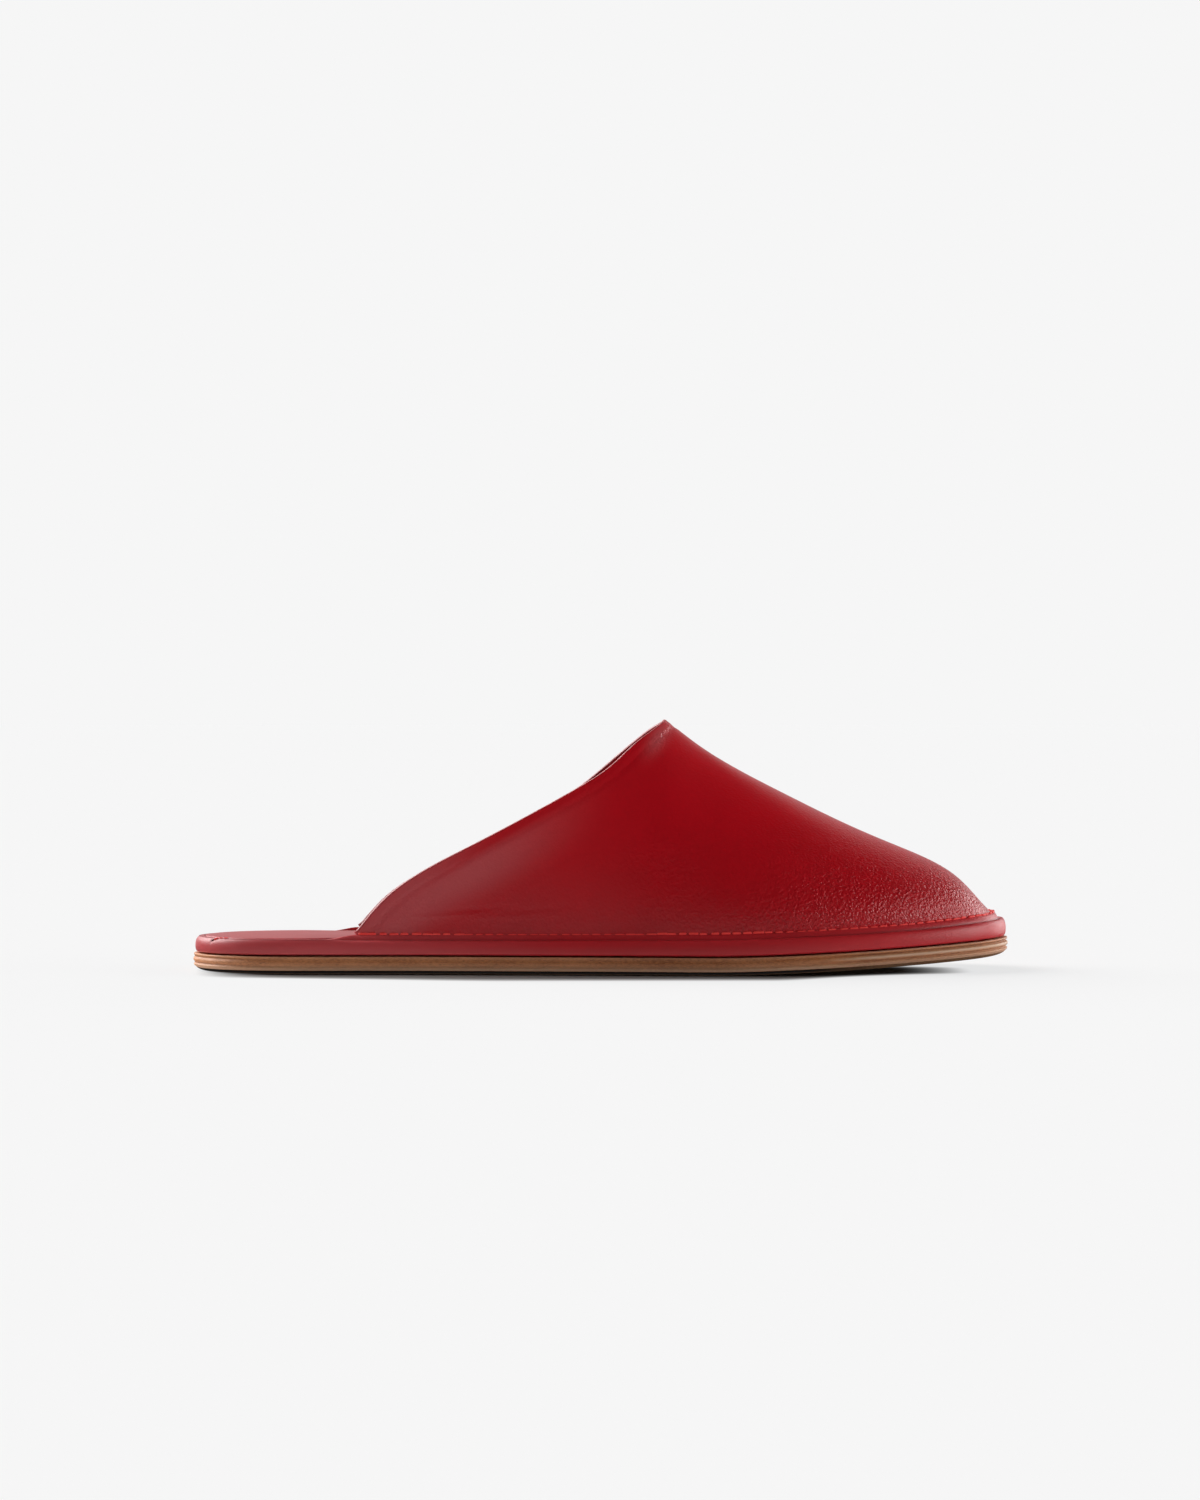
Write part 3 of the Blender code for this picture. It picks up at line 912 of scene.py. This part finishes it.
def wrapPoints():
    extra = np.linspace(wrap["seamFrom"][0] - 0.03, wrap["seamTo"][0] + 0.03, wrap["seamSteps"])
    turns = np.union1d(seamTurns(wrap["steps"]), extra)
    x = soleEdge(turns)[:, 0]
    profile = roundOff(wrapProfile(x), 2)
    # painted shade: how deep a point lies in the groove of the ledge or under the roll
    toe = softStep(x, *wrap["toeFrom"])
    near = bell((profile[..., 0] - wallInset(x) + last["ledge"]) / wrap["paintedShadeWidth"])
    paintedShade = near * softStep(profile[..., 1], trayHeight - 0.001, trayHeight) * (0.25 + 0.35 * toe)
    low = 1 - softStep(profile[..., 1] - last["outsole"], 0.0004, 0.0010)
    return ringPoints(turns, profile), np.maximum(paintedShade, 0.15 * low)


def makeWrap():
    points, paintedShade = wrapPoints()
    # the slit at the heel
    a, b = heelSeamEnds()
    flat = points[..., :2] - a
    t = np.clip((flat @ (b - a)) / ((b - a) @ (b - a)), 0, 1)
    off = np.linalg.norm(flat - t[..., None] * (b - a), axis=-1)
    high = softStep(points[..., 2], trayHeight - 0.0025, trayHeight - 0.0015)
    points[..., 2] -= wrap["seamDepth"] * bell(off / wrap["seamWidth"]) * high
    x = points[..., 0]
    amount = 0.22 + 0.5 * softStep(x, *wrap["grainFrom"])
    # painted sheen, strongest at the heel end
    paintedSheen = 0.95 - 0.70 * softStep(x, *wrap["paintedSheenFrom"])
    # painted shade at the wrap's heel end, and a little at the toe
    ends = 0.25 * (1 - softStep(x, *wrap["heelShadeFrom"])) + 0.10 * softStep(x, *wrap["toeShadeFrom"])
    paintedShade = np.maximum(paintedShade, ends)
    piece = newPiece(
        "wrapLeather",
        points,
        ringFaces(points),
        [redLeather("wrapRed", wrap["look"])],
        marks={"grainAmount": amount, "paintedShade": paintedShade, "paintedSheen": paintedSheen},
    )
    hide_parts("platform")
    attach(piece, "root")


makeWrap()
print("wrap made")


sock = {
    "steps": 420,
    "grain": 0.25,
    "look": {
        # red leather greyed toward pink: painted sheen of glancing light
        "colour": (0.600, 0.0480, 0.0560),
        "deep": (0.470, 0.0320, 0.0380),
        "drift": 0.35,
        "rough": 0.36,
        "roughDrift": 0.06,
        "gloss": 0.5,
        "pebbles": 1300.0,
        "pores": 0.10,
        "valley": 0.2,
        "depth": 0.00005,
    },
}


def sockProfile(x):
    heel = last["wrapSetback"] + last["heelRim"] + last["gap"] * 0.4
    front = upperInset + last["wall"] + last["gap"]
    turn = last["seamTurn"]
    edge = heel + (front - heel) * softStep(x, upperBack - turn * 2, upperBack - turn / 2)
    floor = trayHeight + last["gap"]
    top = floor + last["sock"]
    rows = [
        (edge + last["edgeRound"], floor),
        (edge, floor),
        (edge, top - last["sock"] / 3),
        (edge + last["sock"] / 3, top),
        (edge + last["edgeRound"] / 2, top + last["sockCrown"] * 0.7),
        (edge + last["edgeRound"], top + last["sockCrown"]),
    ]
    return asProfile(x, rows)


def makeSock():
    turns = np.linspace(0, 2 * math.pi, sock["steps"], endpoint=False)
    x = soleEdge(turns)[:, 0]
    points = ringPoints(turns, roundOff(sockProfile(x), 2))
    piece = newPiece(
        "sockLeather",
        points,
        ringFaces(points),
        [redLeather("sockRedPaintedSheen", sock["look"])],
        marks={"grainAmount": np.full(points.size // 3, sock["grain"])},
    )
    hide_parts("sock")
    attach(piece, "root")


makeSock()
print("sock made")


outsole = {
    "steps": 900,
    "groove": 0.00035,
    "setback": 0.00006,
    "edge": {
        "colour": (0.720, 0.295, 0.125),
        "dark": (0.370, 0.122, 0.042),
        # painted highlight colour, then painted shade colour for the grooves
        "paintedHighlight": (0.820, 0.540, 0.360),
        "paintedGrooveShade": (0.110, 0.036, 0.014),
        "rough": 0.40,
        "gloss": 0.35,
    },
    "under": {
        "colour": (0.330, 0.180, 0.095),
        "dark": (0.200, 0.100, 0.052),
        # painted shade: near black where the edge rolls under
        "rolled": (0.009, 0.005, 0.003),
        "rough": 0.70,
        "gloss": 0.05,
    },
    "roughGrain": 0.15,
    "fibres": (900.0, 900.0, 3200.0),  # per metre along, across and up
    "specks": 1500.0,
    "drift": 60.0,
    "toneFrom": (0.36, 0.74),
    "bump": 0.00010,
    "toeCarved": (0.040, 0.080),
    "heelCarved": (-0.120, -0.095),
    "toeLines": (0.065, 0.085),
    "heelLines": (-0.122, -0.100),
    "underTo": 0.76,  # share of the edge's rise where the underside's look ends
    "rolledUp": (0.03, 0.3),
    "rolledTo": (0.062, 0.090),
}
# Share of the edge's round, share of its rise
undersideRows = ((1.0, 0.0), (0.42, 0.0), (0.26, 0.10), (0.14, 0.40), (0.08, 0.72), (0.06, 0.90))
# Depth against the groove's, share of the edge's height, 1 in the two grooves
edgeRows = (
    (1.2, -0.02, 0), (0.5, 0.08, 0), (0.7, 0.16, 0), (2.9, 0.27, 1), (0.6, 0.36, 0), (0.0, 0.50, 0),
    (0.6, 0.64, 0), (3.0, 0.75, 1), (0.7, 0.84, 0), (0.5, 0.93, 0), (1.2, 1.0, 0),
)


def outsoleProfile(x):
    toe = softStep(x, *outsole["toeCarved"])
    heel = 1 - softStep(x, *outsole["heelCarved"])
    carved = 0.30 + 0.70 * toe + 0.30 * heel
    rise = last["edgeRise"]
    rows = [(last["edgeRound"] * inset, rise * up) for inset, up in undersideRows]
    for inset, up, groove in edgeRows:
        depth = outsole["setback"] + outsole["groove"] * (inset * carved if groove else inset)
        rows.append((depth, rise + (last["outsole"] - rise) * up))
    rows.append((last["edgeRound"], last["outsole"]))
    return asProfile(x, rows)


def soleMaterial(name, look):
    material, tree, shader = newMaterial(name, {"Specular IOR Level": look["gloss"]})
    place = objectPlace(tree)
    stretched = newNode(tree, "Mapping", {"Vector": place, "Scale": outsole["fibres"]})["Vector"]
    fibre = noiseNode(tree, stretched, 1.0, 3.0, 0.6)
    specks = noiseNode(tree, place, outsole["specks"])
    slow = noiseNode(tree, place, outsole["drift"], 3.0)
    grain = specks if "rolled" in look else fibre
    worn = stepNode(tree, blendNode(tree, grain, 0.6, slow, 0.4), *outsole["toneFrom"])
    tone = mixColour(tree, worn, look["colour"], look["dark"])
    # painted shade under the edge, painted highlights, and painted shade in the grooves
    for label in ("rolled", "paintedHighlight", "paintedGrooveShade"):
        if label in look:
            tone = mixColour(tree, markValue(tree, label), tone, look[label])
    link(tree, tone, shader.inputs["Base Color"])
    rough = scaleNode(tree, grain, outsole["roughGrain"], look["rough"])
    link(tree, rough, shader.inputs["Roughness"])
    bumpInto(tree, shader, scaleNode(tree, specks, 0.5, grain), outsole["bump"])
    return material


# Painted highlights on the edge, then painted shade in its grooves. Share of the edge's height, half
# width, strength along the waist, at the toe, at the heel end
paintedHighlightLines = (
    (0.00, 0.26, 0.62, 0.45, 0.50), (0.52, 0.13, 0.0, 0.95, 0.10), (0.97, 0.06, 0.30, 0.60, 0.35),
)
paintedShadeLines = ((0.28, 0.06, 0.0, 0.30, 0.25), (0.77, 0.06, 0.08, 0.55, 0.35))


def edgeLines(points, rows):
    x = points[..., 0]
    share = (points[..., 2] - lift(x) - last["edgeRise"]) / (last["outsole"] - last["edgeRise"])
    toe = softStep(x, *outsole["toeLines"])
    heel = 1 - softStep(x, *outsole["heelLines"])
    total = np.zeros_like(x)
    for place, width, waist, front, back in rows:
        strength = waist * (1 - toe) * (1 - heel) + front * toe + back * heel
        total = np.maximum(total, strength * bell((share - place) / width))
    return total


def makeOutsole():
    turns = seamTurns(outsole["steps"])
    x = soleEdge(turns)[:, 0]
    points = ringPoints(turns, roundOff(outsoleProfile(x), 2))
    faces = ringFaces(points)
    heights = (points[..., 2] - lift(points[..., 0])).ravel()
    rise = last["edgeRise"]
    kinds = [int(heights[list(face)].mean() < rise * outsole["underTo"]) for face in faces]
    # painted shade where the edge rolls under, fading out at the toe
    rolled = softStep(heights, rise * outsole["rolledUp"][0], rise * outsole["rolledUp"][1])
    rolled *= 1 - softStep(points[..., 0].ravel(), *outsole["rolledTo"])
    piece = newPiece(
        "outsoleLeather",
        points,
        faces,
        [soleMaterial("soleEdge", outsole["edge"]), soleMaterial("soleUnder", outsole["under"])],
        kinds,
        {
            "rolled": rolled,
            "paintedHighlight": edgeLines(points, paintedHighlightLines),
            "paintedGrooveShade": edgeLines(points, paintedShadeLines),
        },
    )
    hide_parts("outsole")
    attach(piece, "root")


makeOutsole()
print("outsole made")


thread = {
    "radius": 0.00038,
    "stitch": 0.0031,
    "space": 0.00026,
    "sides": 8,
    "rings": 9,
    "seed": 7,
    "heelStitches": (0.16, 0.44, 0.72),
    "lengths": (0.70, 1.15),  # shares of the stitch's length
    "shift": 0.0003,
    "inset": 0.00010,  # outside the upper's foot
    "behind": 0.0005,
    "sink": 0.00054,  # a hidden stitch lies this far under the rim
    "rise": 0.00074,
    "arch": 0.00014,
    "shows": (0.82, 1.12),
    "heelLength": 0.24,
    "heelRadius": 0.00022,
    "heelShift": (0.0001, -0.0004),
    "heelOver": 0.00006,
    "slitRadius": 0.00017,
    "slitUnder": 0.00010,
    "prickRadius": 0.00026,
    "prickUnder": 0.00016,
    "prickHalf": 0.0001,
    "prickInset": 0.0011,
    "prickSpace": 0.0014,
    "prickFrom": 0.1130,
    "colour": (0.950, 0.090, 0.080),
    "deep": (0.780, 0.040, 0.040),
    "drift": 0.6,
    # painted glow: the thread glows a little though it is no lamp
    "paintedGlow": 0.14,
    "paintedGlowColour": (1, 0.06, 0.05),
    # near black for the painted shade in the heel seam's slit and the needle's pricks
    "holeShadeColour": (0.030, 0.0010, 0.0020),
}
# Place along the shoe, how far the thread shows on the outer side
threadRows = (
    (-0.078, 1.0), (-0.050, 0.9), (-0.040, 0.45), (-0.010, 0.40), (0.012, 0.55), (0.018, 1.0),
    (0.050, 0.95), (0.056, 0.45), (0.095, 0.50), (0.110, 0.9), (0.126, 1.0),
)


def threadMaterial():
    # painted glow on the thread
    paintedGlow = {"Emission Color": thread["paintedGlowColour"], "Emission Strength": thread["paintedGlow"]}
    surface = {"Roughness": 0.55, "Specular IOR Level": 0.4}
    material, tree, shader = newMaterial("threadRed", {**surface, **paintedGlow})
    link(tree, dyeTone(tree, thread)["Colour"], shader.inputs["Base Color"])
    return material


def stitchTube(path, radius, points, faces):
    sides, rings = thread["sides"], len(path)
    along = unit(np.gradient(path, axis=0))
    side = unit(np.cross(along, np.array([0.0, 0.0, 1.0])))
    up = unit(np.cross(side, along))
    start = len(points)
    for k in range(rings):
        size = radius * (0.55 if k in (0, rings - 1) else 1.0)
        for m in range(sides):
            turn = 2 * math.pi * m / sides
            points.append(path[k] + side[k] * math.cos(turn) * size + up[k] * math.sin(turn) * size)
    faces.extend(gridFaces(rings, sides, True, start).tolist())
    faces.append(list(range(start + sides - 1, start - 1, -1)))
    end = start + (rings - 1) * sides
    faces.append(list(range(end, end + sides)))


def edgeLine(inset):
    return insetEdge(seamTurns(4000), inset)


def makeThread():
    random = np.random.default_rng(thread["seed"])
    line = edgeLine(rimInset - thread["inset"])
    line = line[line[:, 0] >= upperBack + thread["behind"]]
    run = runAlong(line)
    pitch = thread["stitch"] + thread["space"]
    points, faces = [], []
    for n in range(int(run[-1] / pitch)):
        length = thread["stitch"] * random.uniform(*thread["lengths"])
        start = n * pitch + random.uniform(-thread["shift"], thread["shift"])
        spots = start + np.linspace(0, length, thread["rings"])
        x = np.interp(spots, run, line[:, 0])
        y = np.interp(spots, run, line[:, 1])
        arch = np.sin(np.linspace(0, math.pi, thread["rings"])) ** 0.5
        show = alongRows(x.mean(), threadRows) * random.uniform(*thread["shows"])
        z = rimTop + rimClimb(x) + lift(x) - thread["sink"]
        z = z + thread["rise"] * show + thread["arch"] * (arch - 1)
        stitchTube(np.stack([x, y, z], axis=-1), thread["radius"], points, faces)
    piece = newPiece("featherThread", points, faces, [threadMaterial()])
    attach(piece, "root")


makeThread()


def makeHeelThread():
    points, faces = [], []
    a, b = heelSeamEnds()
    for start in thread["heelStitches"]:
        share = np.linspace(start, start + thread["heelLength"], 7)[:, None]
        spots = a + (b - a) * share + np.array(thread["heelShift"])
        stitchTube(onRoll(spots, thread["heelOver"]), thread["heelRadius"], points, faces)
    piece = newPiece("heelSeamThread", points, faces, [bpy.data.materials["threadRed"]])
    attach(piece, "root")


rollTop = wrapPoints()[0].reshape(-1, 3)
rollTop = rollTop[rollTop[:, 2] > trayHeight - 0.0025]


def onRoll(spots, over):
    # the spots laid on the roll's surface, a little over it
    away = ((rollTop[None, :, :2] - spots[:, None]) ** 2).sum(-1)
    near = np.argsort(away, axis=1)[:, :4]
    weight = 1 / (np.take_along_axis(away, near, 1) + 1e-9)
    height = (rollTop[near, 2] * weight).sum(1) / weight.sum(1) + over
    return np.concatenate([spots, height[:, None]], axis=1)


def makePaintedShadeMarks():
    # dark tubes as painted shade in the heel seam's slit and in the needle's pricks in the ledge round the
    # toe
    points, faces = [], []
    a, b = heelSeamEnds()
    slit = a + (b - a) * np.linspace(0, 1, 15)[:, None]
    stitchTube(onRoll(slit, -thread["slitUnder"]), thread["slitRadius"], points, faces)
    line = edgeLine(rimInset - thread["prickInset"])
    run = runAlong(line)
    half = thread["prickHalf"]
    spots = np.arange(0, run[-1], thread["prickSpace"])
    for x, y in zip(np.interp(spots, run, line[:, 0]), np.interp(spots, run, line[:, 1])):
        if x > thread["prickFrom"]:
            spot = np.array([[x - half, y], [x, y], [x + half, y]])
            stitchTube(onRoll(spot, -thread["prickUnder"]), thread["prickRadius"], points, faces)
    material, _, _ = newMaterial(
        "seamPaintedShade", {"Base Color": thread["holeShadeColour"], "Roughness": 0.8, "Specular IOR Level": 0.1}
    )
    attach(newPiece("needleHolePaintedShade", points, faces, [material]), "root")


makeHeelThread()
makePaintedShadeMarks()
print("threads made")


studio = {
    "backdrop": 0.922,
    "floorReach": 60.0,
    "floorColour": (0.80, 0.80, 0.80),
    "floorGlow": 0.142,
    "glowFrom": (0.150, 0.062),  # painted shadow: half length and half width of the floor round the shoe that doesn't glow
    "glowFade": (0.8, 1.9),
    "seenColour": (0.200, 0.191, 0.184),
    "seenLight": (0.7275, 0.736, 0.743),
    "shadowFrom": ((0.099, 4.0), (0.039, 2.0)),  # painted soft shadow: half length and half width, how square
    "shadowFade": (1.0, 6.0),
    "shadowAt": (0.006, 0.010),  # its middle is this much nearer the heel, and the camera
    # from and to along the shoe, how much narrower the shadow is there
    "shadowEnds": ((-0.110, -0.030, 1.38, 1.0), (0.050, 0.105, 1.0, 2.2)),
    "world": 0.02,
    "below": 0.75,
    "belowFrom": (-0.60, -0.15),
    "lampDistance": 2.0,
    # name, azimuth from the camera towards the right, elevation and spread in degrees, strength
    "lamps": (
        ("rightLamp", 85.0, 10.0, 36.0, 1.70),
        ("backRightLamp", 132.0, 10.0, 36.0, 1.15),
        ("leftLamp", 255.0, 33.0, 36.0, 1.20),
        ("backLeftLamp", 228.0, 35.0, 50.0, 3.00),
        ("backLamp", 180.0, 12.0, 60.0, 0.40),
    ),
}


def makeFloor():
    reach = studio["floorReach"]
    corners = [(-reach, -reach, 0), (reach, -reach, 0), (reach, reach, 0), (-reach, reach, 0)]
    matt = {"Roughness": 0.9, "Specular IOR Level": 0.0}
    look, tree, shader = newMaterial(
        "paleFloor", {**matt, "Base Color": studio["floorColour"], "Emission Color": (1, 1, 1)}
    )
    narrow = (1 / studio["glowFrom"][0], 1 / studio["glowFrom"][1], 0)
    place = newNode(tree, "Mapping", {"Vector": objectPlace(tree), "Scale": narrow})["Vector"]
    away = newNode(tree, "VectorMath", {0: place}, operation="LENGTH")["Value"]
    # the glow is left out round the shoe: painted shadow in the light the floor throws onto the shoe
    paintedGlow = stepNode(tree, away, *studio["glowFade"], 0.0, studio["floorGlow"])
    link(tree, paintedGlow, shader.inputs["Emission Strength"])
    # the camera's own view of the floor: it glows evenly, but for a painted soft shadow under the shoe
    parts = newNode(tree, "SeparateXYZ", {0: objectPlace(tree)})
    along = mathNode(tree, "ADD", parts["X"], studio["shadowAt"][0])
    across = mathNode(tree, "ADD", parts["Y"], studio["shadowAt"][1])
    for ends in studio["shadowEnds"]:
        across = mathNode(tree, "MULTIPLY", across, stepNode(tree, parts["X"], *ends))
    sides = []
    for value, (half, square) in zip((along, across), studio["shadowFrom"]):
        share = mathNode(tree, "MULTIPLY", value, 1 / half)
        sides.append(mathNode(tree, "POWER", mathNode(tree, "MULTIPLY", share, share), square))
    outer = stepNode(tree, mathNode(tree, "ADD", *sides), *studio["shadowFade"])
    own = {"Base Color": studio["seenColour"], "Emission Color": studio["seenLight"]}
    seen = newNode(tree, "BsdfPrincipled", {**matt, **own, "Emission Strength": outer})
    splitByRay(tree, shader.outputs[0], seen[0], "Material Output")
    floor = newPiece("floor", corners, [(0, 1, 2, 3)], [look])
    floor.visible_glossy = False


def makeWorld():
    world = bpy.data.worlds.new("studio")
    world.use_nodes = True
    scene.world = world
    tree = world.node_tree
    sky = tree.nodes["Background"]
    setInput(tree, sky.inputs["Color"], (1, 1, 1))
    # mirrored rays that go down pass the floor and meet this paler part instead
    up = newNode(tree, "SeparateXYZ", {0: newNode(tree, "TexCoord", {})["Generated"]})["Z"]
    below = stepNode(tree, up, *studio["belowFrom"], studio["below"], studio["world"])
    link(tree, below, sky.inputs["Strength"])
    back = newNode(tree, "Background", {"Color": (1, 1, 1), "Strength": studio["backdrop"]})
    splitByRay(tree, sky.outputs[0], back[0], "World Output")


def makeLamps():
    for name, azimuth, elevation, spread, strength in studio["lamps"]:
        data = bpy.data.lights.new(name, "SUN")
        data.energy = strength
        data.angle = math.radians(spread)
        lamp = bpy.data.objects.new(name, data)
        a, e = math.radians(azimuth), math.radians(elevation)
        towards = Vector((math.sin(a) * math.cos(e), -math.cos(a) * math.cos(e), math.sin(e)))
        lamp.rotation_euler = towards.to_track_quat("Z", "Y").to_euler()
        lamp.location = towards * studio["lampDistance"]
        scene.collection.objects.link(lamp)


makeFloor()
makeWorld()
makeLamps()
print("studio made")
